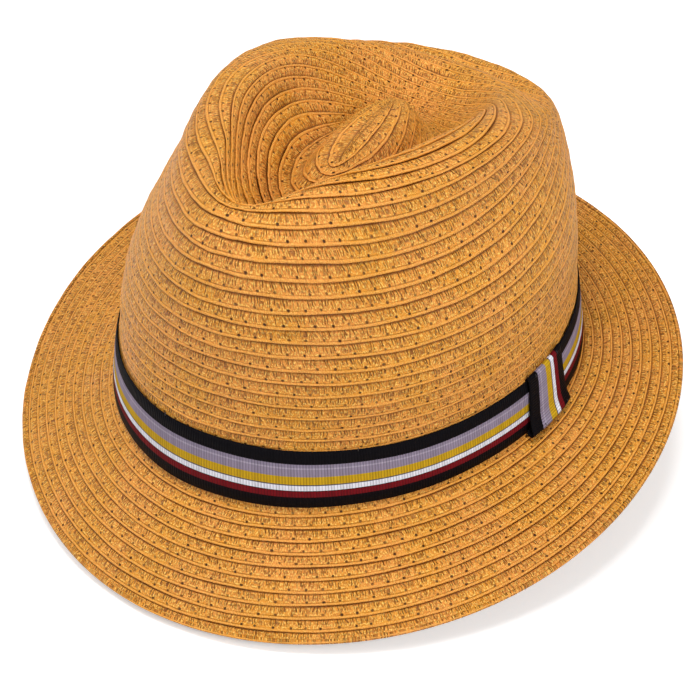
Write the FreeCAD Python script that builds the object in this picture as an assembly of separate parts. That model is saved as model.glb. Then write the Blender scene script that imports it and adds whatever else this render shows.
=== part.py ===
import FreeCAD, Part
import math
import os

# A teardrop-crowned fedora of sewn paper braid. Millimetres, +Z up, the wearer faces -Y and the wearer's left
# side is +X. The origin is the centre of the head opening, on the head line where crown and brim meet.

# Head opening
head_size = 580.0
head_length_over_width = 1.177
head_egg = 0.052
head_line_z = 0.0

# Braid
braid_thickness = 1.8
crown_rows = 37.4
row_pitch = 4.63

# Crown heights above the head line, and its dent
crown_front_height = 109.3
crown_side_height = 111.8
crown_back_height = 89.7
dent_floor_height = 84.0
ridge_height = 91.5
ridge_front_y = -20.0
ridge_back_y = 40.0
ridge_half_width = 9.0
dent_front_y = -36.0
dent_back_y = 47.0
dent_half_width = 17.0
pinch_depth = 3.2
pinch_angle = 45.0
pinch_row = 14.6
pinch_rows_wide = 3.0
pinch_turn_wide = 20.0

# Brim: width, and slope from level, at front, sides and back
brim_front_width = 46.0
brim_side_width = 45.3
brim_back_width = 31.0
brim_front_slope = -48.0
brim_side_slope = -15.0
brim_back_slope = 26.0

# Springy wire under the brim's outermost row
wire_diameter = 0.9
wire_from_edge = 1.6
sleeve_bore = 1.4
sleeve_wall = 0.25
sleeve_length = 10.0
wire_clearance = 0.1
wire_under_face = 0.3

# Ribbon and its keeper
ribbon_height = 24.5
ribbon_thickness = 0.6
ribbon_foot = 1.6
ribbon_join_slit = 0.5
keeper_angle = 93.0
keeper_width = 25.0
keeper_overhang = 1.0
keeper_thickness = 0.6
cloth_gap = 0.2

# Sweatband and what is sewn to it
sweatband_height = 32.0
sweatband_thickness = 0.9
sweatband_foot = 0.4
sweatband_slit = 0.6
tape_width = 14.0
tape_thickness = 0.4
tag_width = 16.0
tag_height = 20.0
tag_thickness = 0.35
tag_foot = 6.0
tag_angle = 158.0
seam_allowance = 1.0

# Threads
thread_diameter = 0.6
stitch_length = 3.6
stitch_count = 96
stitch_height = 3.2
ribbon_tack_count = 6
tack_length = 2.4
thread_clearance = 0.06

# Fineness of the curves round the hat
points_round = 48


def oval_axes():
    """Outer half length and half width of the crown's foot, from the head size by Ramanujan's perimeter."""
    ratio = head_length_over_width
    unit_perimeter = math.pi * (3 * (1 + ratio) - math.sqrt((3 * ratio + 1) * (ratio + 3)))
    half_width = head_size / unit_perimeter
    wall = sweatband_thickness + cloth_gap + braid_thickness
    return half_width * ratio + wall, half_width + wall


half_length, half_width = oval_axes()


def oval(angle, front, side, back, egg):
    """Point at an angle from the front: front and back reaches along Y, and a side reach narrowed at the front."""
    x = side * math.sin(angle) * (1 - egg * math.cos(angle))
    y = (back - front) / 2 - (back + front) / 2 * math.cos(angle)
    return x, y


def three_way(angle, front, side, back):
    """A value that runs smoothly round the hat from front through side to back."""
    mean = ((front + back) / 2 + side) / 2
    return (mean + (front - back) / 2 * math.cos(angle)
            + ((front + back) / 2 - side) / 2 * math.cos(2 * angle))


heights = (crown_front_height, crown_side_height, crown_back_height)

# The crown's rings from the ridge in its top down to the head line. Each is: row number, reach to the front,
# side and back, narrowing at the front, and height at the front, side and back.
rings = [
    (2.2, -ridge_front_y, ridge_half_width, ridge_back_y, 0.05, ridge_height, ridge_height, ridge_height),
    (5.0, -dent_front_y, dent_half_width, dent_back_y, 0.12) + (dent_floor_height,) * 3,
]
# Dent wall, rim, shoulder, upper wall and middle wall, as shares of the head oval's half axes and of the crown's
# heights.
wall_shares = [
    (9.0, 0.566, 0.320, 0.585, 0.25, 0.860, 0.877, 0.940),
    (13.75, 0.726, 0.472, 0.776, 0.31, 1.0, 1.0, 1.0),
    (16.5, 0.830, 0.625, 0.854, 0.28, 0.902, 0.980, 0.910),
    (20.0, 0.899, 0.722, 0.999, 0.13, 0.735, 0.818, 0.887),
    (25.5, 0.944, 0.894, 0.996, 0.06, 0.489, 0.528, 0.620),
]
for row, front, side, back, egg, *shares in wall_shares:
    rings.append((row, front * half_length, side * half_width, back * half_length, egg)
                 + tuple(share * h for share, h in zip(shares, heights)))
ribbon_line = 25.0
ribbon_line_row = crown_rows - ribbon_line / row_pitch
ribbon_line_inset = (1.8, 4.2, 1.6)
rings.append((ribbon_line_row, half_length - ribbon_line_inset[0], half_width - ribbon_line_inset[1],
              half_length - ribbon_line_inset[2], head_egg) + (ribbon_line,) * 3)
rings.append((crown_rows, half_length, half_width, half_length, head_egg) + (head_line_z,) * 3)


def ring_point(ring, angle):
    row, front, side, back, egg, *ring_heights = ring
    x, y = oval(angle, front, side, back, egg)
    return FreeCAD.Vector(x, y, three_way(angle, *ring_heights))


def crown_point(row, angle):
    """A cubic through the rings' points at this angle, its slopes weighted by the rows between rings."""
    rows = [ring[0] for ring in rings]
    points = [ring_point(ring, angle) for ring in rings]
    steps = [b - a for a, b in zip(rows, rows[1:])]
    chords = [(b - a) * (1 / h) for a, b, h in zip(points, points[1:], steps)]
    slopes = [chords[0]]
    for before, after, h0, h1 in zip(chords, chords[1:], steps, steps[1:]):
        slopes.append((before * h1 + after * h0) * (1 / (h0 + h1)))
    slopes.append(chords[-1])
    i = max(k for k in range(len(steps)) if rows[k] <= row or k == 0)
    h = steps[i]
    t = (row - rows[i]) / h
    point = (points[i] * ((1 + 2 * t) * (1 - t) ** 2) + slopes[i] * (t * (1 - t) ** 2 * h)
             + points[i + 1] * (t * t * (3 - 2 * t)) + slopes[i + 1] * (t * t * (t - 1) * h))
    return point + pinch(row, angle)


def pinch(row, angle):
    """The finger dents at both sides of the front: a bell-shaped push inwards, square to the oval there."""
    turn = math.atan2(math.sin(angle), math.cos(angle))
    away = math.radians(pinch_angle)
    across = (abs(turn) - away) / math.radians(pinch_turn_wide)
    bell = math.exp(-across ** 2 - ((row - pinch_row) / pinch_rows_wide) ** 2)
    side = 1 if turn > 0 else -1
    inward = FreeCAD.Vector(-side * math.sin(away) * half_length, math.cos(away) * half_width, 0).normalize()
    return inward * (pinch_depth * bell)


def crown_offset(row, angle, distance):
    """The crown's surface moved outwards along its normal."""
    step = 0.01
    along = crown_point(row, angle + step) - crown_point(row, angle - step)
    down = crown_point(row + step, angle) - crown_point(row - step, angle)
    return crown_point(row, angle) + down.cross(along).normalize() * distance


def wall_row(height):
    """The row at a height on the crown's wall near the head line."""
    return crown_rows - height / row_pitch


def foot_frame(angle):
    """The crown's foot oval at an angle: its point on the head line and its outward plan normal."""
    x, y = oval(angle, half_length, half_width, half_length, head_egg)
    step = 0.001
    x1, y1 = oval(angle + step, half_length, half_width, half_length, head_egg)
    return FreeCAD.Vector(x, y, head_line_z), FreeCAD.Vector(y1 - y, x - x1, 0).normalize()


def foot_point(angle, outwards, up):
    """A point beside the crown's foot oval, outwards and up."""
    foot, normal = foot_frame(angle)
    return foot + normal * outwards + FreeCAD.Vector(0, 0, up)


def wall_point(height, distance, angle):
    """A point at a height on the crown's outer wall, moved outwards by a distance, square to the foot oval."""
    foot, normal = foot_frame(angle)
    on_wall = crown_point(wall_row(height), angle)
    return foot_point(angle, (on_wall - foot).dot(normal) + distance, on_wall.z)


def closed_curve(point_at):
    """A closed smooth edge through evenly turned points."""
    points = [point_at(2 * math.pi * i / points_round) for i in range(points_round)]
    curve = Part.BSplineCurve()
    curve.interpolate(Points=points, PeriodicFlag=True,
                      Parameters=[i / points_round for i in range(points_round + 1)])
    return curve.toShape()


def open_curve(point_at, start, end):
    count = 7
    points = [point_at(start + (end - start) * i / (count - 1)) for i in range(count)]
    curve = Part.BSplineCurve()
    curve.interpolate(Points=points, Parameters=[i / (count - 1) for i in range(count)])
    return curve.toShape()


def sewn_solid(faces):
    """One solid from faces that share their edges."""
    shell = Part.makeShell(faces)
    shell.sewShape()
    solid = Part.makeSolid(shell if shell.ShapeType == "Shell" else shell.Shells[0])
    if solid.Volume < 0:
        solid.reverse()
    return solid


def hoop(section):
    """A closed hoop: the section is a list of functions of the angle, one for each corner."""
    edges = [closed_curve(corner) for corner in section]
    return sewn_solid([Part.makeRuledSurface(a, b) for a, b in zip(edges, edges[1:] + edges[:1])])


def strip(section, start, end):
    """A length of hoop between two angles, with a flat face at each end."""
    edges = [open_curve(corner, start, end) for corner in section]
    faces = [Part.makeRuledSurface(a, b) for a, b in zip(edges, edges[1:] + edges[:1])]
    for angle in (start, end):
        corners = [corner(angle) for corner in section]
        faces.append(Part.Face(Part.makePolygon(corners + corners[:1])))
    return sewn_solid(faces)


def wall_corner(height, distance):
    """A corner that follows the crown's wall round the hat."""
    return lambda angle: wall_point(height, distance, angle)


def wall_section(foot, top, near, far, levels):
    """Corners of a thin band on the wall: up its near side and down its far side."""
    rises = [foot + (top - foot) * i / (levels - 1) for i in range(levels)]
    return ([wall_corner(z, near) for z in rises] + [wall_corner(z, far) for z in reversed(rises)])


def angle_for(length):
    """Half the turn that a length along the wall takes near the hat's side or back."""
    return length / (half_length + half_width)


def radial_box(angle, width):
    """A thin upright box that cuts a slit at an angle."""
    middle = foot_point(angle, 0, 0)
    reach = 20.0
    tall = 3 * reach
    box = Part.makeBox(width, 2 * reach, tall, FreeCAD.Vector(-width / 2, -reach, -reach))
    outward = foot_point(angle, 1, 0) - middle
    box.rotate(FreeCAD.Vector(), FreeCAD.Vector(0, 0, 1), math.degrees(math.atan2(outward.y, outward.x)) - 90)
    box.translate(middle)
    return box


def thread(start, end):
    """A straight stitch of round thread."""
    run = end - start
    return Part.makeCylinder(thread_diameter / 2, run.Length, start, run)


def crown_braid():
    """An outer skin lofted through rows of the crown, hollowed by the same rows set in by the braid."""
    top_row = rings[0][0]
    levels = [top_row, 3.5, 5.0, 7.0, 9.0, 11.0, 12.5, 13.75, 15.0, 16.5, 18.2, 20.0, 22.5, 25.5, 28.5,
              30.4, ribbon_line_row, 33.4, 34.8, 36.2]
    drop = FreeCAD.Vector(0, 0, -braid_thickness)

    def inner(row, angle):
        point = crown_offset(row, angle, -braid_thickness)
        if row == top_row:
            point.z = ridge_height - braid_thickness
        return point

    outer_rows = [closed_curve(lambda a, r=r: crown_point(r, a)) for r in levels + [crown_rows]]
    inner_rows = [closed_curve(lambda a, r=r: inner(r, a)) for r in levels]
    inner_rows.append(closed_curve(lambda a: foot_point(a, -braid_thickness, 0)))
    inner_rows.append(closed_curve(lambda a: foot_point(a, -braid_thickness, 0) + drop))
    outer_solid = Part.makeLoft([Part.Wire(e) for e in outer_rows], True)
    inner_solid = Part.makeLoft([Part.Wire(e) for e in inner_rows], True)
    return outer_solid.cut(inner_solid).Solids[0]


def brim_frame(angle):
    """Plan width, unit vector down the brim's slope and unit vector square to its underside."""
    slope = math.radians(three_way(angle, brim_front_slope, brim_side_slope, brim_back_slope))
    width = three_way(angle, brim_front_width, brim_side_width, brim_back_width)
    return width, (math.cos(slope), math.sin(slope)), (math.sin(slope), -math.cos(slope))


def brim_corner(from_edge, depth):
    """A corner near the brim's edge: a distance in from the edge and a depth below the top surface."""
    def point_at(angle):
        width, along, below = brim_frame(angle)
        reach = width - from_edge
        return foot_point(angle, reach * along[0] + depth * below[0], reach * along[1] + depth * below[1])
    return point_at


groove_width = sleeve_bore + 2 * sleeve_wall + 2 * wire_clearance
wire_depth = braid_thickness - wire_under_face
groove_roof = wire_depth - sleeve_bore / 2 - sleeve_wall - wire_clearance
wire_centre = wire_from_edge + groove_width / 2


def brim_braid():
    """A sloping ring of braid with a flat seat for the crown and a groove for the wire under its edge."""
    section = [
        lambda a: foot_point(a, -braid_thickness, 0),
        lambda a: foot_point(a, 0, 0),
        brim_corner(0, 0),
        brim_corner(0, braid_thickness),
        brim_corner(wire_from_edge, braid_thickness),
        brim_corner(wire_from_edge, groove_roof),
        brim_corner(wire_from_edge + groove_width, groove_roof),
        brim_corner(wire_from_edge + groove_width, braid_thickness),
        lambda a: foot_point(a, -braid_thickness, -braid_thickness),
    ]
    return hoop(section)


def brim_edge_wire():
    """A round wire, drawn with eight sides, lying in the groove."""
    sides = 8
    radius = wire_diameter / 2
    section = []
    for i in range(sides):
        turn = 2 * math.pi * i / sides
        section.append(brim_corner(wire_centre + radius * math.cos(turn), wire_depth + radius * math.sin(turn)))
    return hoop(section)


def wire_sleeve():
    centre = brim_corner(wire_centre, wire_depth)(math.pi)
    start = centre - FreeCAD.Vector(sleeve_length / 2, 0, 0)
    axis = FreeCAD.Vector(1, 0, 0)
    outside = Part.makeCylinder(sleeve_bore / 2 + sleeve_wall, sleeve_length, start, axis)
    return outside.cut(Part.makeCylinder(sleeve_bore / 2, sleeve_length, start, axis)).Solids[0]


def ribbon_band():
    band = hoop(wall_section(ribbon_foot, ribbon_foot + ribbon_height, cloth_gap,
                             cloth_gap + ribbon_thickness, 4))
    return band.cut(radial_box(math.radians(keeper_angle), ribbon_join_slit)).Solids[0]


ribbon_face = cloth_gap + ribbon_thickness
keeper_face = ribbon_face + cloth_gap
keeper_foot = ribbon_foot - keeper_overhang
keeper_top = ribbon_foot + ribbon_height + keeper_overhang


def ribbon_keeper():
    """A shallow channel of folded ribbon: an upright face, turned in over the ribbon's two edges."""
    lip = (keeper_overhang - cloth_gap) / 2
    outer = keeper_face + keeper_thickness
    section = [
        wall_corner(keeper_foot, cloth_gap),
        wall_corner(keeper_foot + lip, cloth_gap),
        wall_corner(keeper_foot + lip, keeper_face),
        wall_corner(keeper_top - lip, keeper_face),
        wall_corner(keeper_top - lip, cloth_gap),
        wall_corner(keeper_top, cloth_gap),
        wall_corner(keeper_top, outer),
        wall_corner(keeper_foot, outer),
    ]
    half_turn = angle_for(keeper_width)
    middle = math.radians(keeper_angle)
    return strip(section, middle - half_turn, middle + half_turn)


sweatband_outer = -(braid_thickness + cloth_gap)
sweatband_inner = sweatband_outer - sweatband_thickness


def sweatband():
    band = hoop(wall_section(sweatband_foot, sweatband_foot + sweatband_height, sweatband_outer,
                             sweatband_inner, 4))
    return band.cut(radial_box(math.pi, sweatband_slit)).Solids[0]


def inside_patch(angle, width, foot, height, thickness):
    """A flat patch of cloth on the sweatband's inner face."""
    face = sweatband_inner - cloth_gap / 2
    half_turn = angle_for(width)
    return strip(wall_section(foot, foot + height, face, face - thickness, 3), angle - half_turn,
                 angle + half_turn)


def sweatband_join_tape():
    foot = sweatband_foot + stitch_height + seam_allowance
    top = sweatband_foot + sweatband_height - seam_allowance
    return inside_patch(math.pi, tape_width, foot, top - foot, tape_thickness)


def size_tag():
    return inside_patch(math.radians(tag_angle), tag_width, tag_foot, tag_height, tag_thickness)


def sweatband_stitches():
    """A ring of short stitches near the sweatband's lower edge."""
    stitches = []
    offset = sweatband_inner - thread_diameter / 2 - thread_clearance
    half_turn = angle_for(stitch_length)
    for i in range(stitch_count):
        angle = 2 * math.pi * (i + 0.5) / stitch_count
        stitches.append(thread(wall_point(stitch_height, offset, angle - half_turn),
                               wall_point(stitch_height, offset, angle + half_turn)))
    return Part.makeCompound(stitches)


def upright_tack(angle, height, distance):
    """A short upright stitch, centred at a height on the wall."""
    return thread(wall_point(height - tack_length / 2, distance, angle),
                  wall_point(height + tack_length / 2, distance, angle))


def ribbon_tacks():
    """Tacks over the ribbon's top edge, evenly spaced from the keeper."""
    tacks = []
    for i in range(1, ribbon_tack_count + 1):
        angle = math.radians(keeper_angle) + 2 * math.pi * i / (ribbon_tack_count + 1)
        tacks.append(upright_tack(angle, ribbon_foot + ribbon_height,
                                  ribbon_face + thread_diameter / 2 + thread_clearance))
    return Part.makeCompound(tacks)


def keeper_tacks():
    """Two tacks at the keeper's top edge and two at its foot."""
    distance = keeper_face + keeper_thickness + thread_diameter / 2 + thread_clearance
    spread = angle_for(keeper_width / 2)
    tacks = []
    for height in (keeper_top - tack_length / 2, keeper_foot + tack_length / 2):
        for side in (-1, 1):
            tacks.append(upright_tack(math.radians(keeper_angle) + side * spread, height, distance))
    return Part.makeCompound(tacks)


nodes = {
    "crown_braid": crown_braid,
    "brim_braid": brim_braid,
    "brim_edge_wire": brim_edge_wire,
    "wire_sleeve": wire_sleeve,
    "ribbon_band": ribbon_band,
    "ribbon_keeper": ribbon_keeper,
    "ribbon_tacks": ribbon_tacks,
    "keeper_tacks": keeper_tacks,
    "sweatband": sweatband,
    "sweatband_join_tape": sweatband_join_tape,
    "size_tag": size_tag,
    "sweatband_stitches": sweatband_stitches,
}
os.makedirs("parts", exist_ok=True)
for name, make in nodes.items():
    shape = make()
    shape.exportStep("parts/" + name + ".step")
    box = shape.BoundBox
    print(name, shape.ShapeType, len(shape.Solids), "valid", shape.isValid(), "volume", round(shape.Volume, 1),
          "box", [round(v, 1) for v in (box.XMin, box.YMin, box.ZMin, box.XMax, box.YMax, box.ZMax)])
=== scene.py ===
import math

import bpy
import numpy as np
from mathutils import Matrix, Vector


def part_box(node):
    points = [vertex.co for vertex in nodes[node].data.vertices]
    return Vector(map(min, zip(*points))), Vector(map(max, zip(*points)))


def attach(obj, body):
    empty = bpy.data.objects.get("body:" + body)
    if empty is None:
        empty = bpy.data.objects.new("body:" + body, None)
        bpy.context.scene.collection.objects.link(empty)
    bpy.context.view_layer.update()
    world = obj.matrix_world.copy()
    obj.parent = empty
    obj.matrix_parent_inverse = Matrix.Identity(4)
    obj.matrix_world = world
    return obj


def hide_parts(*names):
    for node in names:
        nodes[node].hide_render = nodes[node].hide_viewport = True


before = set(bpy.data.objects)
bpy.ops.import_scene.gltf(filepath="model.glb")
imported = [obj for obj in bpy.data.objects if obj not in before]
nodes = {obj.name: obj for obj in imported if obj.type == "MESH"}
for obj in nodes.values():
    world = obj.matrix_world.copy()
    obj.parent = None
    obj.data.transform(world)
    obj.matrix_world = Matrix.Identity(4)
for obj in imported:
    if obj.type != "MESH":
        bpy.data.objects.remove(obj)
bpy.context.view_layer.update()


# The crown and brim. One flat paper braid is sewn round and round, each row over the edge of the next, from a
# slit in the ridge on top out to the brim's edge, and then blocked to shape. Lengths in this file are in
# millimetres until they go into a mesh, and rows are counted outwards from the middle of the top.
MM = 0.001
crown_low, crown_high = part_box("crown_braid")
head_egg = 0.052
half_length = -crown_low.y / MM
half_width = crown_high.x / MM / (1 + head_egg ** 2 / 2)
crown_rows = 37.4
brim_rows = 10.4
all_rows = crown_rows + brim_rows
row_pitch = 4.63

# Each ring of the crown: row, reach to the front, side and back, narrowing at the front, and its three heights.
ring_table = np.array([
    (0.0, 9.0, -0.20, 33.0, 0.00, 93.5, 95.0, 95.0),
    (2.2, 20.0, 9.0, 40.0, 0.05, 91.0, 93.5, 92.5),
    (5.0, 36.0, 17.0, 47.0, 0.12, 84.0, 85.0, 82.5),
    (9.0, 58.0, 28.0, 60.0, 0.25, 94.0, 98.0, 84.3),
    (13.75, 74.5, 41.4, 79.5, 0.31, 109.3, 111.8, 89.7),
    (16.5, 85.1, 54.8, 87.6, 0.28, 98.5, 109.5, 81.6),
    (20.0, 92.2, 63.2, 102.4, 0.13, 80.3, 91.4, 79.6),
    (25.5, 96.8, 78.3, 102.1, 0.06, 53.4, 59.0, 55.6),
    (32.0, half_length - 1.8, half_width - 4.2, half_length - 1.6, head_egg, 25.0, 25.0, 25.0),
    (crown_rows, half_length, half_width, half_length, head_egg, 0.0, 0.0, 0.0),
])
# How far the sewn rows stray from the rings, in rows: outwards at the front and back, and towards the back. The
# stray is greatest at one ring and has gone at the head line. The slit runs askew across the ridge and is blunt
# at its ends, and a finger dent is pinched in at each side of the front.
stray_ends = 2.89
stray_back = -1.66
stray_most = 16.0
slit_skew = 0.10
slit_middle = 12.0
pinch_depth = 3.2
pinch_turn = math.radians(45.0)
pinch_turn_wide = math.radians(20.0)
pinch_row = 14.6
pinch_rows_wide = 3.0
slit_bluntness = 0.8
slit_rows = 2.5
skew_rows = 3.0
# The brim's width and its slope at the front, side and back.
brim_widths = (47.6, 45.3, 31.0)
brim_slopes = tuple(math.radians(a) for a in (-48.0, -15.0, 26.0))


def three_way(turn, front, side, back):
    """A value joined smoothly round the hat: a mean, a cosine of the turn and a cosine of twice the turn."""
    mean = ((front + back) / 2 + side) / 2
    return mean + (front - back) / 2 * np.cos(turn) + ((front + back) / 2 - side) / 2 * np.cos(2 * turn)


def through_rings(row, values):
    """A cubic through a column of the ring table, each ring's slope weighted by the rows on both sides."""
    rows = ring_table[:, 0]
    step = np.diff(rows)
    chord = np.diff(values) / step
    slope = np.concatenate([chord[:1], (chord[:-1] * step[1:] + chord[1:] * step[:-1]) / (step[:-1] + step[1:]),
                            chord[-1:]])
    i = np.clip(np.searchsorted(rows, row, side="right") - 1, 0, len(rows) - 2)
    h = step[i]
    t = (row - rows[i]) / h
    return ((1 + 2 * t) * (1 - t) ** 2 * values[i] + t * (1 - t) ** 2 * h * slope[i]
            + t * t * (3 - 2 * t) * values[i + 1] + t * t * (t - 1) * h * slope[i + 1])


def ring_of(row, turn):
    """The ring that a sewn row lies on, by repeated correction of row = ring + stray(ring, turn)."""
    ring = row
    for _ in range(6):
        bow = (np.sin(np.pi / 2 * np.clip(ring / stray_most, 0, 1))
               * np.clip((crown_rows - ring) / (crown_rows - stray_most), 0, 1))
        ring = row - bow * (stray_ends * np.cos(2 * turn) + stray_back * np.cos(turn))
    return np.clip(ring, 0, None)


def crown_surface(ring, turn):
    """An oval at each ring, egg-shaped in plan, its height three-way, with finger dents and a blunt slit."""
    columns = [through_rings(ring, column) for column in ring_table.T[1:]]
    front, side, back, egg, z_front, z_side, z_back = columns
    blunt = slit_bluntness * np.exp(-ring / slit_rows)
    x = side * np.sin(turn) * (1 - egg * np.cos(turn)) * (1 + blunt * np.cos(turn) ** 2)
    y = (back - front) / 2 - (back + front) / 2 * np.cos(turn)
    z = three_way(turn, z_front, z_side, z_back)
    x = x - slit_skew * (y - slit_middle) * np.exp(-ring / skew_rows)
    away = np.abs(np.arctan2(np.sin(turn), np.cos(turn)))
    bell = pinch_depth * np.exp(-((away - pinch_turn) / pinch_turn_wide) ** 2
                                - ((ring - pinch_row) / pinch_rows_wide) ** 2)
    inward = np.array([math.sin(pinch_turn) * half_length, math.cos(pinch_turn) * half_width])
    inward /= np.hypot(*inward)
    return np.stack([x - bell * inward[0] * np.sign(np.sin(turn)), y + bell * inward[1], z], -1)


def foot_oval(turn):
    """The oval of the head line and its outward direction in plan."""
    x = half_width * np.sin(turn) * (1 - head_egg * np.cos(turn))
    y = -half_length * np.cos(turn)
    along_x = half_width * (np.cos(turn) - head_egg * np.cos(2 * turn))
    along_y = half_length * np.sin(turn)
    length = np.hypot(along_x, along_y)
    return x, y, along_y / length, -along_x / length


def brim_surface(row, turn):
    """Straight lines outwards from the head line, sloping down in front and up behind, ten rows wide."""
    x, y, out_x, out_y = foot_oval(turn)
    slope = three_way(turn, *brim_slopes)
    reach = three_way(turn, *brim_widths) * (row - crown_rows) / brim_rows
    flat = reach * np.cos(slope)
    return np.stack([x + out_x * flat, y + out_y * flat, reach * np.sin(slope)], -1)


def braid_surface(row, turn):
    """The blocked shape that the rows follow: the crown down to the head line, then the brim."""
    row, turn = np.broadcast_arrays(np.asarray(row, float), np.asarray(turn, float))
    on_crown = crown_surface(np.minimum(ring_of(row, turn), crown_rows), turn)
    on_brim = brim_surface(np.maximum(row, crown_rows), turn)
    return np.where((row < crown_rows)[..., None], on_crown, on_brim)


def braid_normal(row, turn):
    """Outward direction: the step down the rows crossed with the step round the hat."""
    row, turn = np.broadcast_arrays(np.asarray(row, float), np.asarray(turn, float))
    inner = np.clip(row - 0.15, 0.3, None)
    outer = np.clip(row + 0.15, 0.6, None)
    middle = (inner + outer) / 2
    down = braid_surface(outer, turn) - braid_surface(inner, turn)
    around = braid_surface(middle, turn + 0.01) - braid_surface(middle, turn - 0.01)
    normal = np.cross(down, around)
    return normal / np.linalg.norm(normal, axis=-1, keepdims=True)


def swept(sections, along, across, closed=False):
    """Points, quads and corner coordinates of a closed section carried along a path. Open ends get a cap."""
    count, size = sections.shape[:2]
    i, j = np.meshgrid(np.arange(count if closed else count - 1), np.arange(size), indexing="ij")
    corners = [(0, 0), (1, 0), (1, 1), (0, 1)]
    faces = np.stack([((i + a) % count) * size + (j + b) % size for a, b in corners], -1).reshape(-1, 4)
    uv = np.stack([np.stack([along[i + a], across[j + b]], -1) for a, b in corners], -2).reshape(-1, 4, 2)
    if not closed:
        k = np.arange(size // 2 - 1)
        cap = np.stack([k, k + 1, size - 2 - k, size - 1 - k], -1)
        for station, ring in ((0, cap), (count - 1, cap[:, ::-1])):
            faces = np.concatenate([faces, ring + station * size])
            cap_uv = np.stack([np.full(ring.shape, along[station]), across[ring]], -1)
            uv = np.concatenate([uv, cap_uv])
    return sections.reshape(-1, 3), faces, uv


def lengths(line):
    """The way covered at each point of a line, from 0 at its first."""
    return np.concatenate([[0], np.cumsum(np.linalg.norm(np.diff(line, axis=0), axis=1))])


def make_piece(name, parts, material, replaces=()):
    """One smooth-shaded object from swept parts, riding on the hat and standing for the named nodes."""
    starts = np.cumsum([0] + [len(points) for points, _, _ in parts])
    points = np.concatenate([p for p, _, _ in parts]) * MM
    faces = np.concatenate([f + start for (_, f, _), start in zip(parts, starts)])
    uv = np.concatenate([u for _, _, u in parts])
    mesh = bpy.data.meshes.new(name)
    mesh.vertices.add(len(points))
    mesh.vertices.foreach_set("co", points.astype(np.float32).ravel())
    mesh.loops.add(faces.size)
    mesh.loops.foreach_set("vertex_index", faces.astype(np.int32).ravel())
    mesh.polygons.add(len(faces))
    mesh.polygons.foreach_set("loop_start", np.arange(0, faces.size, 4, dtype=np.int32))
    mesh.update(calc_edges=True)
    layer = mesh.uv_layers.new(name="lie")
    layer.data.foreach_set("uv", uv.astype(np.float32).ravel())
    mesh.polygons.foreach_set("use_smooth", np.ones(len(faces), bool))
    mesh.materials.append(material)
    piece = bpy.data.objects.new(name, mesh)
    bpy.context.scene.collection.objects.link(piece)
    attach(piece, "root")
    for node in replaces:
        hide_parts(node)
    return piece


def shader(tree, kind, inputs=(), **settings):
    """Adds a node, with its settings, and fills its inputs with values or links."""
    node = tree.nodes.new(kind)
    for key, value in settings.items():
        setattr(node, key, value)
    for key, value in dict(inputs).items():
        if isinstance(value, bpy.types.NodeSocket):
            tree.links.new(value, node.inputs[key])
        else:
            node.inputs[key].default_value = value
    return node


def calc(tree, operation, *values):
    """One sum or function of values or links."""
    return shader(tree, "ShaderNodeMath", dict(enumerate(values)), operation=operation).outputs[0]


def fade(tree, value, start, end):
    """0 up to the start and 1 past the end, smooth between. With start above end it falls."""
    node = shader(tree, "ShaderNodeMapRange", {0: value, 1: min(start, end), 2: max(start, end),
                                               3: float(start > end), 4: float(start < end)},
                  interpolation_type="SMOOTHSTEP")
    return node.outputs[0]


def tint(tree, share, base, over):
    """Colours mixed by a share from 0 to 1."""
    node = shader(tree, "ShaderNodeMix", {0: share, 6: base, 7: over}, data_type="RGBA")
    return node.outputs[2]


def grain(tree, vector, scale, detail=2.0):
    """Soft noise over a flat map, from 0 to 1."""
    node = shader(tree, "ShaderNodeTexNoise", {"Vector": vector, "Scale": scale, "Detail": detail},
                  noise_dimensions="2D")
    return node.outputs[0]


def chance(tree, count):
    """One value by chance, from 0 to 1, for each whole number."""
    whole = calc(tree, "FLOOR", count)
    return shader(tree, "ShaderNodeTexWhiteNoise", {"W": whole}, noise_dimensions="1D").outputs[0]


def stretched(tree, vector, along, across):
    """A flat map stretched or drawn in, along the cloth and across it."""
    return shader(tree, "ShaderNodeMapping", {0: vector, 3: (along, across, 1.0)}).outputs[0]


def colour(red, green, blue):
    """A colour given as on a screen, from 0 to 255, made linear."""
    return tuple((c / 255 / 12.92 if c <= 10 else ((c / 255 + 0.055) / 1.055) ** 2.4)
                 for c in (red, green, blue)) + (1.0,)


def new_material(name):
    """An empty node tree with its output and a Principled shader."""
    material = bpy.data.materials.new(name)
    material.use_nodes = True
    tree = material.node_tree
    tree.nodes.clear()
    surface = tree.nodes.new("ShaderNodeBsdfPrincipled")
    output = tree.nodes.new("ShaderNodeOutputMaterial")
    tree.links.new(surface.outputs[0], output.inputs[0])
    return material, tree, surface


# The braid's pattern. Pitches, the holes' size and the relief are in millimetres, and the two lines lie at
# shares of the row's width.
strand_pitch = 1.15
hole_pitch = 5.9
hole_line = 0.70
hole_long = 0.56
hole_high = 0.48
seam_line = 0.775
braid_relief = 0.60


def ticks(tree, along, across, pitch, slant, shift, start, end):
    """Dark slits between upright strands, over part of the row's width, each with its own depth by chance."""
    upright = calc(tree, "DIVIDE", along, pitch)
    count = calc(tree, "ADD", calc(tree, "MULTIPLY_ADD", across, slant, upright), shift)
    luck = chance(tree, calc(tree, "ADD", count, 0.5))
    from_middle = calc(tree, "ABSOLUTE", calc(tree, "MULTIPLY_ADD", calc(tree, "FRACT", count), 2.0, -1.0))
    span = calc(tree, "MULTIPLY", fade(tree, across, start, start + 0.06), fade(tree, across, end, end - 0.14))
    slit = calc(tree, "MULTIPLY", fade(tree, from_middle, 0.40, 0.95), span)
    return calc(tree, "MULTIPLY", slit, calc(tree, "MULTIPLY_ADD", luck, 0.75, 0.20))


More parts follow.
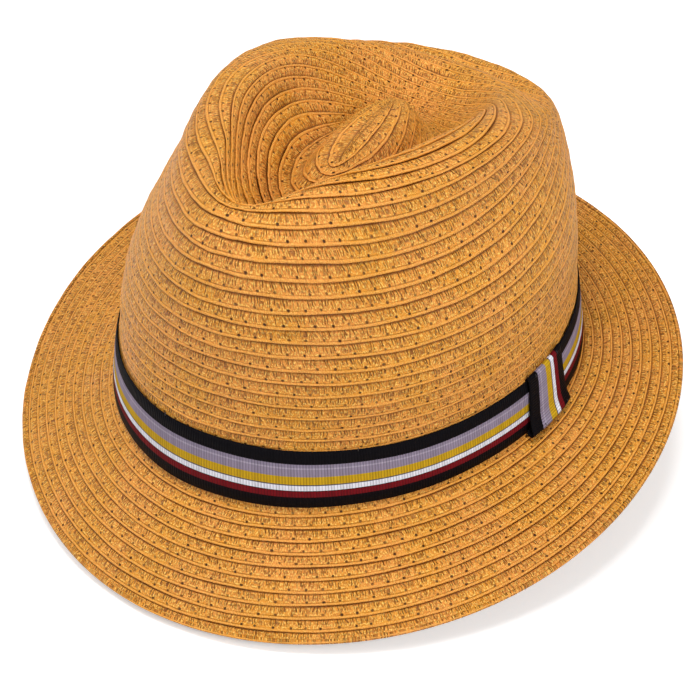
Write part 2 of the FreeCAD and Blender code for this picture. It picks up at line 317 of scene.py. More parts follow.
def needle_holes(tree, along, across, drift):
    """A line of round dark holes, each a little out of line and with its own depth by chance."""
    count = calc(tree, "MULTIPLY_ADD", drift, 0.5, calc(tree, "DIVIDE", along, hole_pitch))
    luck = chance(tree, count)
    from_middle = calc(tree, "ADD", calc(tree, "FRACT", count), -0.5)
    line = calc(tree, "MULTIPLY_ADD", luck, 0.07, hole_line - 0.035)
    x = calc(tree, "MULTIPLY", from_middle, hole_pitch / hole_long)
    y = calc(tree, "MULTIPLY", calc(tree, "SUBTRACT", across, line), row_pitch / hole_high)
    distance = calc(tree, "SQRT", calc(tree, "ADD", calc(tree, "MULTIPLY", x, x), calc(tree, "MULTIPLY", y, y)))
    depth = calc(tree, "MULTIPLY_ADD", luck, 0.5, 0.6)
    return calc(tree, "MULTIPLY", fade(tree, distance, 1.30, 0.45), depth)


def paper_braid():
    """Twisted paper, plaited flat: close upright strands, a line of needle holes and a smooth rolled lip, with
    painted glints, a painted highlight on the lip and painted shade in the groove under it.
    """
    material, tree, surface = new_material("paper_braid")
    uv = shader(tree, "ShaderNodeUVMap", uv_map="lie").outputs[0]
    parts = shader(tree, "ShaderNodeSeparateXYZ", {0: uv})
    along, across = parts.outputs[0], parts.outputs[1]
    place = shader(tree, "ShaderNodeTexCoord").outputs["Object"]
    flat = stretched(tree, uv, 1.0, row_pitch)

    drift = grain(tree, uv, 0.35, 1.0)
    slow_drift = grain(tree, uv, 0.09, 1.0)
    lean = calc(tree, "MULTIPLY_ADD", slow_drift, 5.0, -2.2)
    upper = ticks(tree, along, across, strand_pitch, lean, calc(tree, "MULTIPLY", drift, 2.6), 0.02, 0.52)
    lower = ticks(tree, along, across, strand_pitch * 1.31, calc(tree, "MULTIPLY", lean, -0.8),
                  calc(tree, "MULTIPLY", drift, 3.4), 0.24, 0.68)
    slit = calc(tree, "MAXIMUM", upper, calc(tree, "MULTIPLY", lower, 0.8))

    hole = needle_holes(tree, along, across, slow_drift)
    # Large patches that vary how dark the seam line is, and a little of the lip's painted highlight.
    seam_and_highlight_patches = fade(tree, grain(tree, uv, 0.05), 0.30, 0.62)
    from_seam = calc(tree, "ABSOLUTE", calc(tree, "ADD", across, -seam_line))
    seam = calc(tree, "MULTIPLY", fade(tree, from_seam, 0.05, 0.0), calc(tree, "MULTIPLY", seam_and_highlight_patches, 0.45))

    streak = grain(tree, stretched(tree, flat, 1.3, 0.75), 1.5)
    fibre = grain(tree, stretched(tree, flat, 0.5, 3.0), 1.0)
    fleck = grain(tree, flat, 0.75, 3.0)
    blotch = shader(tree, "ShaderNodeTexNoise", {"Vector": place, "Scale": 45.0, "Detail": 3.0}).outputs[0]

    plait = fade(tree, across, hole_line + 0.10, hole_line - 0.02)
    paper = tint(tree, fade(tree, blotch, 0.38, 0.62), colour(231, 147, 58), colour(228, 148, 40))
    paper = tint(tree, calc(tree, "MULTIPLY", fade(tree, fleck, 0.48, 0.28), 0.5), paper, colour(180, 106, 34))
    # Painted highlight: glints on the strands, strongest in the upper part of the row, mixed into the paper's
    # colour.
    shine = calc(tree, "MULTIPLY_ADD", plait, 0.45, 0.35)
    painted_glint = calc(tree, "MULTIPLY", fade(tree, streak, 0.50, 0.64), shine)
    paper = tint(tree, painted_glint, paper, colour(255, 206, 102))
    # Painted highlight along the rolled lip, its strength varied by the fibre noise and by large patches.
    lip = calc(tree, "MULTIPLY", fade(tree, across, 0.80, 0.88), fade(tree, across, 1.0, 0.95))
    lip_highlight_grain = calc(tree, "MULTIPLY_ADD", fibre, 0.7, calc(tree, "MULTIPLY", seam_and_highlight_patches, 0.1))
    lip = calc(tree, "MULTIPLY", lip, lip_highlight_grain)
    paper = tint(tree, lip, paper, colour(243, 174, 82))
    # The dark slits and the seam line are the braid's own. The darkening in the groove under the lip of the row
    # above is painted shade, and all three take one dark colour.
    groove_painted_shade = fade(tree, across, 0.24, -0.02)
    dark = calc(tree, "MAXIMUM", slit, seam)
    dark = calc(tree, "MAXIMUM", dark, calc(tree, "MULTIPLY", groove_painted_shade, 0.95))
    paper = tint(tree, dark, paper, colour(124, 66, 14))
    paper = tint(tree, hole, paper, colour(78, 38, 6))

    height = calc(tree, "MULTIPLY", calc(tree, "MAXIMUM", slit, calc(tree, "MAXIMUM", hole, seam)), -1.0)
    height = calc(tree, "MULTIPLY_ADD", fibre, 0.35, height)
    height = calc(tree, "MULTIPLY_ADD", streak, 0.9, height)
    height = calc(tree, "MULTIPLY_ADD", fleck, 0.4, height)
    bump = shader(tree, "ShaderNodeBump", {"Strength": 1.0, "Distance": braid_relief * MM, "Height": height})
    gloss = calc(tree, "MULTIPLY_ADD", fleck, 0.25, 0.30)
    tree.links.new(paper, surface.inputs["Base Color"])
    tree.links.new(gloss, surface.inputs["Roughness"])
    tree.links.new(bump.outputs[0], surface.inputs["Normal"])
    surface.inputs["Specular IOR Level"].default_value = 0.36
    return material


# One row in section, from its hidden start under the row above to its rolled lip and back along its underside:
# how far across the row, and how high over the blocked shape.
row_section = np.array([
    (-0.30, -0.95), (0.00, -0.66), (0.08, -0.42), (0.22, -0.14), (0.45, 0.04), (0.64, 0.06), (0.74, -0.02),
    (0.80, 0.05), (0.87, 0.20), (0.93, 0.26), (0.985, 0.14), (1.005, -0.15), (0.97, -0.52), (0.84, -1.02),
    (0.30, -1.18), (-0.26, -1.45),
])
stations_per_turn = 460
# The rows lie flatter near the slit, where they are narrow.
flat_rows = 7.0
flat_share = 0.35
# How far the pattern moves on from one made piece to the next, for each turn, so that it doesn't repeat.
pattern_step = 733.0
# How a row strays from its line, in rows, and how its lip lifts, in millimetres: size, waves a turn and phase.
sway_waves = ((0.034, 5.37, 0.0), (0.020, 13.7, 1.3), (0.009, 31.3, 0.4))
lift_waves = ((0.12, 3.13, 2.0), (0.10, 7.71, 0.0), (0.08, 23.9, 0.0), (0.05, 61.7, 0.0))


def waves(table, place):
    """A sum of sines of the place, each with its own size, waves in a turn and phase."""
    return sum(size * np.sin(2 * np.pi * count * place + phase) for size, count, phase in table)


def braid_rows(first_turn, last_turn):
    """The row's section carried along the spiral: at each turn it starts where the turn before it ended."""
    count = int(round((last_turn - first_turn) * stations_per_turn)) + 1
    winding = np.linspace(first_turn, last_turn, count)
    turn = -2 * np.pi * winding
    inner = np.clip(winding, 0, all_rows)
    outer = np.clip(winding + 1, 0, all_rows)
    sway = waves(sway_waves, winding)
    lift = waves(lift_waves, winding)
    across, high = row_section[:, 0], row_section[:, 1]
    lip = np.clip((across - 0.5) / 0.4, 0, 1)
    span = (outer - inner)[:, None]
    width = np.where(across < 0, np.minimum(inner[:, None], 1), span)
    rows = np.clip(inner[:, None] + across * width + sway[:, None] * lip * span, 0, all_rows + 0.05)
    fullness = flat_share + (1 - flat_share) * np.clip(winding / flat_rows, 0, 1)
    heights = (high + lift[:, None] * lip) * fullness[:, None]
    points = braid_surface(rows, turn[:, None]) + braid_normal(rows, turn[:, None]) * heights[..., None]
    length = lengths(points[:, 4])
    return swept(points, length + winding[0] * pattern_step, np.concatenate([across, across[:1]]))


paper = paper_braid()
crown_turns = [-0.98, 10.0, 19.0, 28.0, crown_rows - 1]
for number, (first, last) in enumerate(zip(crown_turns, crown_turns[1:]), 1):
    make_piece(f"crown_braid_rows_{number}", [braid_rows(first, last)], paper, ["crown_braid"])
brim_turns = [crown_rows - 1, 42.0, all_rows - 0.06]
for number, (first, last) in enumerate(zip(brim_turns, brim_turns[1:]), 1):
    make_piece(f"brim_braid_rows_{number}", [braid_rows(first, last)], paper, ["brim_braid"])


# The rolled edge. The outermost row is folded under and sewn down over the springy wire that holds the brim's
# snap, so the edge is round and twice as thick. It stands for no node of its own: the brim's node holds it.
# Its section: how far inwards from the brim's edge, and how high over its top.
edge_section = np.array([
    (1.6, 0.12), (0.8, 0.26), (0.1, 0.08), (-0.25, -0.6), (-0.15, -1.6), (0.35, -2.4), (1.5, -2.75),
    (4.4, -2.8), (6.0, -2.0), (6.2, -1.3), (5.6, -1.15), (4.2, -2.35), (1.6, -2.3), (0.8, -1.9),
    (0.4, -0.9), (0.9, -0.35),
])
turn_steps = 900
# The part of the braid's width that the edge shows, which is clear of the needle holes.
edge_from = 0.34
edge_to = 0.56


def edge_frame(turn):
    """The brim's edge, with the direction out along its slope and the direction square to its top."""
    x, y, out_x, out_y = foot_oval(turn)
    slope = three_way(turn, *brim_slopes)
    outward = np.stack([out_x * np.cos(slope), out_y * np.cos(slope), np.sin(slope)], -1)
    above = np.stack([-out_x * np.sin(slope), -out_y * np.sin(slope), np.cos(slope)], -1)
    return braid_surface(all_rows, turn), outward, above


def rolled_edge():
    """The edge's section set square to the brim's edge all round."""
    turn = -np.linspace(0, 2 * np.pi, turn_steps, endpoint=False)
    edge, outward, above = edge_frame(turn)
    inward, up = edge_section[:, 0], edge_section[:, 1]
    points = edge[:, None] - outward[:, None] * inward[None, :, None] + above[:, None] * up[None, :, None]
    length = lengths(np.concatenate([edge, edge[:1]]))
    girth = lengths(edge_section)
    across = edge_from + (edge_to - edge_from) * girth / girth[-1]
    return swept(points, length, np.concatenate([across, across[:1]]), closed=True)


make_piece("brim_rolled_edge", [rolled_edge()], paper, ["brim_braid"])


# The ribbon: a striped grosgrain band pulled tight round the foot of the crown, its weft ribs upright. Its two
# ends meet under the keeper on the wearer's left.
ribbon_foot = 1.9
ribbon_height = 24.6
ribbon_gap = 0.6
ribbon_thickness = 0.6
ribbon_slit = 0.5
ribbon_edge_roll = 0.35
keeper_turn = math.radians(93.0)
rib_pitch = 1.1
warp_pitch = 0.45
black = colour(6, 4, 8)
# The stripes, each from its share of the ribbon's width upwards.
stripes = [
    (0.000, black), (0.195, colour(118, 16, 26)), (0.300, colour(60, 30, 40)), (0.312, colour(236, 236, 246)),
    (0.400, colour(90, 80, 90)), (0.420, colour(206, 164, 30)), (0.560, colour(150, 138, 158)),
    (0.690, colour(172, 162, 180)), (0.715, colour(146, 134, 154)), (0.775, black),
]


def wall_point(height, distance, turn):
    """A point on the crown's wall near the head line, moved outwards along the wall's own normal."""
    row = crown_rows - np.asarray(height, float) / row_pitch
    outward = braid_normal(np.minimum(row, crown_rows - 0.5), turn)
    return braid_surface(row, turn) + outward * np.asarray(distance)[..., None]


def ribbed_cloth_group():
    """Shared by the ribbons and the tape: ribs across the length, each with its own tone by chance and painted
    shade in the valleys between them, and the warp.
    """
    group = bpy.data.node_groups.new("ribbed_cloth", "ShaderNodeTree")
    for name in ("Along", "Across", "Rib Pitch"):
        group.interface.new_socket(name, in_out="INPUT", socket_type="NodeSocketFloat")
    for name in ("Shade", "Height"):
        group.interface.new_socket(name, in_out="OUTPUT", socket_type="NodeSocketFloat")
    start = group.nodes.new("NodeGroupInput").outputs
    end = group.nodes.new("NodeGroupOutput")
    count = calc(group, "DIVIDE", start["Along"], start["Rib Pitch"])
    luck = chance(group, count)
    rib = calc(group, "ABSOLUTE", calc(group, "SINE", calc(group, "MULTIPLY", count, math.pi)))
    warp = calc(group, "SINE", calc(group, "MULTIPLY", start["Across"], 2 * math.pi / warp_pitch))
    rib_height = calc(group, "MULTIPLY_ADD", warp, 0.12, rib)
    # Shade: a tone by chance for each rib, plus painted shade, darker in the valleys between the ribs.
    shade = calc(group, "MULTIPLY_ADD", luck, 0.16, calc(group, "MULTIPLY_ADD", rib, 0.35, 0.55))
    group.links.new(shade, end.inputs["Shade"])
    group.links.new(rib_height, end.inputs["Height"])
    return group


ribbed_cloth = ribbed_cloth_group()


def cloth_coordinates(tree):
    """The piece's own map, and its millimetres along and across the cloth."""
    uv = shader(tree, "ShaderNodeUVMap", uv_map="lie").outputs[0]
    parts = shader(tree, "ShaderNodeSeparateXYZ", {0: uv})
    return uv, parts.outputs[0], parts.outputs[1]


def striped_grosgrain():
    """Black edges, and from the top lavender grey, yellow, white and burgundy, woven with upright ribs."""
    material, tree, surface = new_material("striped_grosgrain")
    _, along, across = cloth_coordinates(tree)
    ribs = shader(tree, "ShaderNodeGroup", {}, node_tree=ribbed_cloth)
    tree.links.new(along, ribs.inputs["Along"])
    tree.links.new(across, ribs.inputs["Across"])
    ribs.inputs["Rib Pitch"].default_value = rib_pitch
    share = calc(tree, "DIVIDE", across, ribbon_height)
    ramp = shader(tree, "ShaderNodeValToRGB", {0: share})
    band = ramp.color_ramp
    band.interpolation = "CONSTANT"
    while len(band.elements) < len(stripes):
        band.elements.new(0.5)
    for element, (position, shade) in zip(band.elements, stripes):
        element.position = position
        element.color = shade
    # The stripes darken towards black with the ribs' painted shade in their valleys and their tone by chance.
    cloth = tint(tree, calc(tree, "SUBTRACT", 1.0, ribs.outputs["Shade"]), ramp.outputs[0], colour(14, 12, 18))
    relief = ribs.outputs["Height"]
    bump = shader(tree, "ShaderNodeBump", {"Strength": 0.8, "Distance": 0.25 * MM, "Height": relief})
    tree.links.new(cloth, surface.inputs["Base Color"])
    tree.links.new(bump.outputs[0], surface.inputs["Normal"])
    surface.inputs["Roughness"].default_value = 0.62
    surface.inputs["Specular IOR Level"].default_value = 0.07
    return material


def cloth_strip(front, back, along, across):
    """A thin cloth from a grid of front points and a grid of back points, joined at its edges."""
    sections = np.concatenate([front, back[:, ::-1]], axis=1)
    return swept(sections, along, np.concatenate([across, across[::-1], across[:1]]))


def ribbon_band():
    """The ribbon from one side of the keeper round to the other, a little uneven and with thinner edges."""
    half_slit = ribbon_slit / 2 / half_length
    turn = -np.linspace(keeper_turn + half_slit, keeper_turn + 2 * np.pi - half_slit, turn_steps)
    share = np.linspace(1, 0, 9)
    ease = 0.12 * np.sin(turn * 5 + 0.7) + 0.10 * np.sin(turn * 11)
    rise = ribbon_foot + ribbon_height * share[None, :] + ease[:, None] * 1.5
    rolled = ribbon_edge_roll * np.abs(share * 2 - 1) ** 6
    outer = ribbon_gap + ribbon_thickness - rolled[None, :] + 0.10 * ease[:, None]
    inner = np.minimum(ribbon_gap, outer - 0.25)
    front = wall_point(rise, outer, turn[:, None])
    back = wall_point(rise, inner, turn[:, None])
    return cloth_strip(front, back, lengths(front[:, 4]), share * ribbon_height)


grosgrain = striped_grosgrain()
ribbon = make_piece("ribbon", [ribbon_band()], grosgrain, ["ribbon_band"])


# The keeper: a short length of the same ribbon turned upright, brought over the ribbon's join from top to foot
# with its ends tucked behind, so that its stripes run up and down. It stands a little off the crown at its foot.
keeper_width = 25.0
# The keeper's line from its hidden top end to its hidden foot: how high, and how far off the crown's wall.
keeper_path = np.array([
    (22.8, 0.25), (25.8, 0.35), (27.3, 0.7), (27.7, 1.3), (27.3, 1.9), (25.0, 2.2), (19.4, 2.4), (13.2, 2.7),
    (7.0, 3.2), (4.4, 3.9), (2.6, 4.5), (1.6, 4.6), (1.3, 4.0), (1.6, 3.0), (2.5, 2.0), (3.6, 1.4),
])
keeper_thickness = 0.55
keeper_straight_from = 22.0
keeper_sag = 0.35
keeper_face = 1.5
keeper_flare = 0.10
keeper_lean = math.radians(1.5)


def smooth_path(points, count):
    """Cubic pieces through the points, with their tangents from the points on both sides."""
    at = lengths(points)
    slope = np.gradient(points, at, axis=0)
    s = np.linspace(0, at[-1], count)
    i = np.clip(np.searchsorted(at, s, side="right") - 1, 0, len(at) - 2)
    h = (at[i + 1] - at[i])[:, None]
    t = ((s - at[i]) / h[:, 0])[:, None]
    return ((1 + 2 * t) * (1 - t) ** 2 * points[i] + t * (1 - t) ** 2 * h * slope[i]
            + t * t * (3 - 2 * t) * points[i + 1] + t * t * (t - 1) * h * slope[i + 1])


def ribbon_keeper():
    """The ribbon's width carried along the keeper's line, wider and leaning at its foot, its edges drawn in."""
    path = smooth_path(keeper_path, 64)
    step = np.gradient(path, axis=0)
    normal = np.stack([step[:, 1], -step[:, 0]], -1) / np.linalg.norm(step, axis=1, keepdims=True)
    side = np.linspace(-1, 1, 17)
    low = np.clip(1 - path[:, :1] / keeper_straight_from, 0, 1) ** 1.3
    half = keeper_width / 2 / half_length * (1 + keeper_flare * low)
    turn = keeper_turn - keeper_lean * low + half * side
    outer = path + normal * keeper_thickness / 2
    inner = path - normal * keeper_thickness / 2
    drawn_in = keeper_sag * side ** 2 * (outer[:, 1:] > keeper_face)
    front = wall_point(outer[:, :1], outer[:, 1:] - drawn_in, turn)
    back = wall_point(inner[:, :1], inner[:, 1:] - drawn_in, turn)
    return cloth_strip(front, back, lengths(front[:, len(side) // 2]), (1 - side) / 2 * ribbon_height)


make_piece("ribbon_keeper_loop", [ribbon_keeper()], grosgrain, ["ribbon_keeper"])


# The sweatband and what is sewn to it: a cotton twill band inside the head opening, its ends butted at the back
# under a short ribbed tape, and a blank folded tag of satin.
sweatband_foot = 0.4
sweatband_height = 32.0
sweatband_thickness = 0.9
sweatband_face = 2.0
sweatband_slit = 0.6
sweatband_puff = 0.35
wale_pitch = 0.9
patch_steps = 15


def twill_cloth():
    """Cotton twill: fine diagonal wales, with painted shade between them, and small flecks of paler thread."""
    material, tree, surface = new_material("sweatband_twill")
    uv, along, across = cloth_coordinates(tree)
    diagonal = calc(tree, "MULTIPLY", calc(tree, "ADD", along, across), 2 * math.pi / wale_pitch)
    wale = calc(tree, "MULTIPLY_ADD", calc(tree, "SINE", diagonal), 0.5, 0.5)
    thread_turn = calc(tree, "MULTIPLY", along, 2 * math.pi / warp_pitch)
    thread = calc(tree, "MULTIPLY_ADD", calc(tree, "SINE", thread_turn), 0.5, 0.5)
    fleck = grain(tree, uv, 1.6, 3.0)
    height = calc(tree, "MULTIPLY_ADD", thread, 0.3, wale)
    # Painted shade: darker in the valleys between the wales.
    cloth = tint(tree, calc(tree, "MULTIPLY", calc(tree, "SUBTRACT", 1.0, wale), 0.45), colour(214, 192, 152),
                 colour(150, 122, 82))
    cloth = tint(tree, calc(tree, "MULTIPLY", fleck, 0.35), cloth, colour(232, 216, 184))
    bump = shader(tree, "ShaderNodeBump", {"Strength": 0.7, "Distance": 0.2 * MM, "Height": height})
    tree.links.new(cloth, surface.inputs["Base Color"])
    tree.links.new(bump.outputs[0], surface.inputs["Normal"])
    surface.inputs["Roughness"].default_value = 0.85
    surface.inputs["Sheen Weight"].default_value = 0.2
    return material


def sweatband():
    """The band from one side of its join round to the other, its top edge waved and a little off the crown."""
    half_slit = sweatband_slit / 2 / half_length
    turn = np.linspace(-np.pi + half_slit, np.pi - half_slit, turn_steps)
    share = np.linspace(1, 0, 12)
    wave = 0.35 * np.sin(turn * 7) + 0.25 * np.sin(turn * 17 + 1)
    rise = sweatband_foot + sweatband_height * share[None, :] + 0.6 * wave[:, None] * share[None, :]
    near = -(sweatband_face + 0.8 * share ** 3 * (1 + wave[:, None] * 0.5))
    puff = sweatband_puff * np.exp(-((share - 0.5) / 0.35) ** 2)
    front = wall_point(rise, near - sweatband_thickness - puff, turn[:, None])
    back = wall_point(rise, near, turn[:, None])
    return cloth_strip(front, back, lengths(front[:, 6]), share * sweatband_height)


twill = twill_cloth()
band = make_piece("sweatband_cloth", [sweatband()], twill, ["sweatband"])


def patch(turn_middle, width, foot, height, face, bulge, thickness):
    """A small cloth patch on the sweatband: a grid over its width and height, bowed off it in the middle."""
    turn = turn_middle + np.linspace(-0.5, 0.5, patch_steps) * width / half_length
    share = np.linspace(1, 0, patch_steps)
    rise = foot + height * share
    off = face + bulge * np.sin(np.pi * share) ** 0.5
    front = wall_point(rise, -(off + thickness), turn[:, None])
    back = wall_point(rise, -off, turn[:, None])
    return cloth_strip(front, back, lengths(front[:, patch_steps // 2]), share * height)


def ribbed_tape():
    """Tan tape with its ribs across its length."""
    material, tree, surface = new_material("ribbed_tape")
    _, along, across = cloth_coordinates(tree)
    ribs = shader(tree, "ShaderNodeGroup", {}, node_tree=ribbed_cloth)
    tree.links.new(across, ribs.inputs["Along"])
    tree.links.new(along, ribs.inputs["Across"])
    ribs.inputs["Rib Pitch"].default_value = 0.8
    # Darker in the rib valleys by painted shade, and with each rib's tone by chance.
    cloth = tint(tree, ribs.outputs["Shade"], colour(120, 96, 62), colour(206, 180, 136))
    relief = ribs.outputs["Height"]
    bump = shader(tree, "ShaderNodeBump", {"Strength": 0.7, "Distance": 0.2 * MM, "Height": relief})
    tree.links.new(cloth, surface.inputs["Base Color"])
    tree.links.new(bump.outputs[0], surface.inputs["Normal"])
    surface.inputs["Roughness"].default_value = 0.8
    return material


def satin_tag():
    """Off-white woven satin, its long floats lying along the tag."""
    material, tree, surface = new_material("satin_tag")
    uv, _, across = cloth_coordinates(tree)
    float_thread = calc(tree, "SINE", calc(tree, "MULTIPLY", across, 2 * math.pi / 0.35))
    fleck = grain(tree, uv, 2.5)
    cloth = tint(tree, fleck, colour(238, 234, 224), colour(222, 216, 204))
    bump = shader(tree, "ShaderNodeBump", {"Strength": 0.4, "Distance": 0.1 * MM, "Height": float_thread})
    tree.links.new(cloth, surface.inputs["Base Color"])
    tree.links.new(bump.outputs[0], surface.inputs["Normal"])
    surface.inputs["Roughness"].default_value = 0.42
    surface.inputs["Sheen Weight"].default_value = 0.3
    return material


sweatband_inner = sweatband_face + sweatband_thickness
tape = patch(math.pi, width=13.0, foot=4.6, height=26.6, face=sweatband_inner + 0.75, bulge=0.25, thickness=0.4)
make_piece("sweatband_tape", [tape], ribbed_tape(), ["sweatband_join_tape"])
tag_turn = math.radians(158)
tag = patch(tag_turn, width=14.5, foot=6.0, height=20.0, face=sweatband_inner + 0.7, bulge=1.2, thickness=0.35)
make_piece("blank_tag", [tag], satin_tag(), ["size_tag"])


# The threads: the sweatband's ring of machine stitches and the few hand tacks that hold the ribbon and its
# keeper. Each stitch is a short length of two-ply cotton, sunk at both ends.
def cotton_thread(name, pale, dark):
    """Two plies twisted together, with painted shade where they meet."""
    material, tree, surface = new_material(name)
    _, along, across = cloth_coordinates(tree)
    twist = calc(tree, "MULTIPLY_ADD", along, 7.0, calc(tree, "MULTIPLY", across, 4 * math.pi))
    ply = calc(tree, "MULTIPLY_ADD", calc(tree, "SINE", twist), 0.5, 0.5)
    bump = shader(tree, "ShaderNodeBump", {"Strength": 0.6, "Distance": 0.1 * MM, "Height": ply})
    # Painted shade in the crease between the plies.
    tree.links.new(tint(tree, ply, dark, pale), surface.inputs["Base Color"])
    tree.links.new(bump.outputs[0], surface.inputs["Normal"])
    surface.inputs["Roughness"].default_value = 0.6
    return material


def stitch(start, end, rise, radius):
    """A tube of eight sides along a low arch from start to end, narrowing to its sunk ends."""
    share = np.linspace(0, 1, 9)
    run = end - start
    line = start + run * share[:, None] + rise * np.sin(np.pi * share)[:, None]
    side = np.cross(run, rise)
    side /= np.linalg.norm(side)
    up = rise / np.linalg.norm(rise)
    angle = np.linspace(0, 2 * np.pi, 8, endpoint=False)
    size = radius * (0.35 + 0.65 * np.sin(np.pi * share) ** 0.4)
    lobed = size[:, None] * (1 + 0.15 * np.cos(2 * angle[None, :] + 6 * share[:, None]))
    points = line[:, None] + lobed[..., None] * (np.cos(angle)[None, :, None] * side
                                                  + np.sin(angle)[None, :, None] * up)
    return swept(points, share * np.linalg.norm(run), np.linspace(0, 1, 9))


stitch_count = 96
stitch_length = 3.6
stitch_height = 3.2
stitch_rise = 0.35
stitch_radius = 0.3
tack_rise = 0.25
tack_radius = 0.22
keeper_tack_turn = 0.08


def ring_of_stitches():
    """Stitches at even steps round the sweatband, just above the head line."""
    middle = (np.arange(stitch_count) + 0.5) / stitch_count * 2 * np.pi
    half = stitch_length / 2 / half_length
    parts = []
    for turn in middle:
        ends = wall_point(np.full(2, stitch_height), np.full(2, -(sweatband_inner + 0.05)),
                          np.array([turn - half, turn + half]))
        inward = -braid_normal(crown_rows - stitch_height / row_pitch, turn)
        parts.append(stitch(ends[0], ends[1], inward * stitch_rise, stitch_radius))
    return parts


def tack(turn, top, foot, distance):
    """One upright stitch on the outside of the crown."""
    ends = wall_point(np.array([top, foot]), np.array([distance, distance]), np.array([turn, turn]))
    outward = braid_normal(crown_rows - 3.0, turn)
    return stitch(ends[0], ends[1], outward * tack_rise, tack_radius)


tan_thread = cotton_thread("tan_thread", colour(226, 200, 150), colour(168, 136, 88))
black_thread = cotton_thread("black_thread", colour(38, 36, 42), colour(12, 11, 14))
make_piece("sweatband_stitching", ring_of_stitches(), tan_thread, ["sweatband_stitches"])
tack_count = 6
tack_turns = [keeper_turn + 2 * math.pi * i / (tack_count + 1) for i in range(1, tack_count + 1)]
ribbon_top = ribbon_foot + ribbon_height
make_piece("ribbon_tack_threads", [tack(t, ribbon_top + 0.7, ribbon_top - 0.9, 0.85) for t in tack_turns],
           black_thread, ["ribbon_tacks"])
tack_sides = [keeper_turn - keeper_tack_turn, keeper_turn + keeper_tack_turn]
keeper_tacks = [tack(t, 27.6, 25.8, 2.15) for t in tack_sides] + [tack(t, 3.4, 1.9, 4.5) for t in tack_sides]
make_piece("keeper_tack_threads", keeper_tacks, black_thread, ["keeper_tacks"])


# The brim wire and its sleeve stay as they are in the CAD, out of sight inside the rolled edge: drawn spring
# steel and a crimped aluminium tube.
def drawn_metal(name, shade, roughness):
    """Bare metal with faint scratches."""
    material, tree, surface = new_material(name)
    place = shader(tree, "ShaderNodeTexCoord").outputs["Object"]
    scratch = shader(tree, "ShaderNodeTexNoise", {"Vector": place, "Scale": 900.0, "Detail": 2.0}).outputs[0]
    tree.links.new(tint(tree, scratch, shade, colour(120, 120, 124)), surface.inputs["Base Color"])
    tree.links.new(calc(tree, "MULTIPLY_ADD", scratch, 0.2, roughness), surface.inputs["Roughness"])
    surface.inputs["Metallic"].default_value = 1.0
    return material


for node, finish in (("brim_edge_wire", drawn_metal("drawn_steel", colour(168, 168, 172), 0.25)),
                     ("wire_sleeve", drawn_metal("sleeve_aluminium", colour(196, 197, 200), 0.35))):
    nodes[node].data.materials.clear()
    nodes[node].data.materials.append(finish)


# The studio: a white floor and sky that only the camera sees as white, soft lamps, and the camera.
floor_z = min(v.co.z for v in nodes["brim_braid"].data.vertices) - 3.5 * MM
floor_reach = 6.0
floor_glow = 0.40


def white_studio(name):
    """Matt white that keeps the shadow, and glows a little for the camera alone."""
    material, tree, surface = new_material(name)
    seen = tree.nodes.new("ShaderNodeLightPath").outputs["Is Camera Ray"]
    surface.inputs["Base Color"].default_value = (0.92, 0.92, 0.92, 1)
    surface.inputs["Roughness"].default_value = 0.9
    surface.inputs["Specular IOR Level"].default_value = 0.0
    surface.inputs["Emission Color"].default_value = (1, 1, 1, 1)
    tree.links.new(calc(tree, "MULTIPLY", seen, floor_glow), surface.inputs["Emission Strength"])
    return material


floor_mesh = bpy.data.meshes.new("studio_floor")
floor_corners = [(x * floor_reach, y * floor_reach, floor_z) for x, y in ((-1, -1), (1, -1), (1, 1), (-1, 1))]
floor_mesh.from_pydata(floor_corners, [], [(0, 1, 2, 3)])
floor_mesh.materials.append(white_studio("studio_white"))
floor = bpy.data.objects.new("studio_floor", floor_mesh)
bpy.context.scene.collection.objects.link(floor)

world = bpy.data.worlds.new("studio_sky")
world.use_nodes = True
bpy.context.scene.world = world
sky = world.node_tree
sky.nodes.clear()
paths = sky.nodes.new("ShaderNodeLightPath")
sky_light = 0.3
strength = calc(sky, "MULTIPLY_ADD", paths.outputs["Is Camera Ray"], 1 - sky_light, sky_light)
backdrop = shader(sky, "ShaderNodeBackground", {"Color": (1, 1, 1, 1), "Strength": strength})
sky.links.new(backdrop.outputs[0], sky.nodes.new("ShaderNodeOutputWorld").inputs[0])


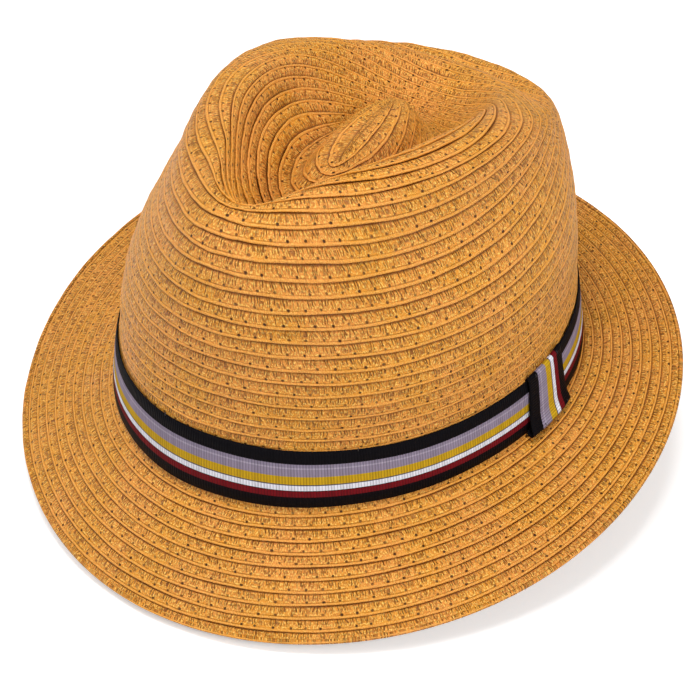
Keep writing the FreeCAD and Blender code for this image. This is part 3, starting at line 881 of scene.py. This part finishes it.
# Each lamp's name, place and size in metres, and power in watts.
lamps = [
    ("left", (-0.95, -0.35, 0.85), 0.5, 3.8),
    ("front", (-0.35, -0.95, 1.05), 0.3, 1.4),
    ("right", (1.08, -0.30, 0.74), 0.5, 6.8),
    ("top", (0.0, -0.15, 1.35), 0.5, 11.0),
]
lamp_aim = Vector((0, 0, 0.05))


def soft_lamp(name, place, size, power):
    """A square soft lamp turned to face the middle of the hat."""
    light = bpy.data.lights.new(name, "AREA")
    light.size = size
    light.energy = power
    lamp = bpy.data.objects.new(name, light)
    bpy.context.scene.collection.objects.link(lamp)
    lamp.location = place
    lamp.rotation_euler = (lamp_aim - Vector(place)).to_track_quat("-Z", "Y").to_euler()


for name, place, size, power in lamps:
    soft_lamp(name, place, size, power)

# The camera stands where the photograph's did. Its turn from straight ahead, its rise, roll, distance and scale
# were fitted to the hat's outline.
camera_turn = math.radians(32.566)
camera_rise = math.radians(38.232)
camera_roll = math.radians(0.398)
camera_distance = 809.4
pixels_per_mm = 2.702
frame_pixels = 700
camera_target = np.array([26.8, -39.55, 35.0])
ahead = np.array([math.sin(camera_turn), -math.cos(camera_turn), 0.0])
towards = ahead * math.cos(camera_rise) + np.array([0.0, 0.0, math.sin(camera_rise)])
right = np.array([math.cos(camera_turn), math.sin(camera_turn), 0.0])
up = np.cross(towards, right)
right, up = (right * math.cos(camera_roll) + up * math.sin(camera_roll),
             up * math.cos(camera_roll) - right * math.sin(camera_roll))
camera_data = bpy.data.cameras.new("camera")
camera_data.sensor_width = 36.0
camera_data.lens = pixels_per_mm * camera_distance / frame_pixels * camera_data.sensor_width
camera_data.clip_start = 0.05
camera = bpy.data.objects.new("camera", camera_data)
bpy.context.scene.collection.objects.link(camera)
camera_stand = np.eye(4)
camera_stand[:3, 0] = right
camera_stand[:3, 1] = up
camera_stand[:3, 2] = towards
camera_stand[:3, 3] = (camera_target + towards * camera_distance) * MM
camera.matrix_world = Matrix(camera_stand.tolist())
bpy.context.scene.camera = camera

bpy.context.scene.view_settings.view_transform = "Standard"
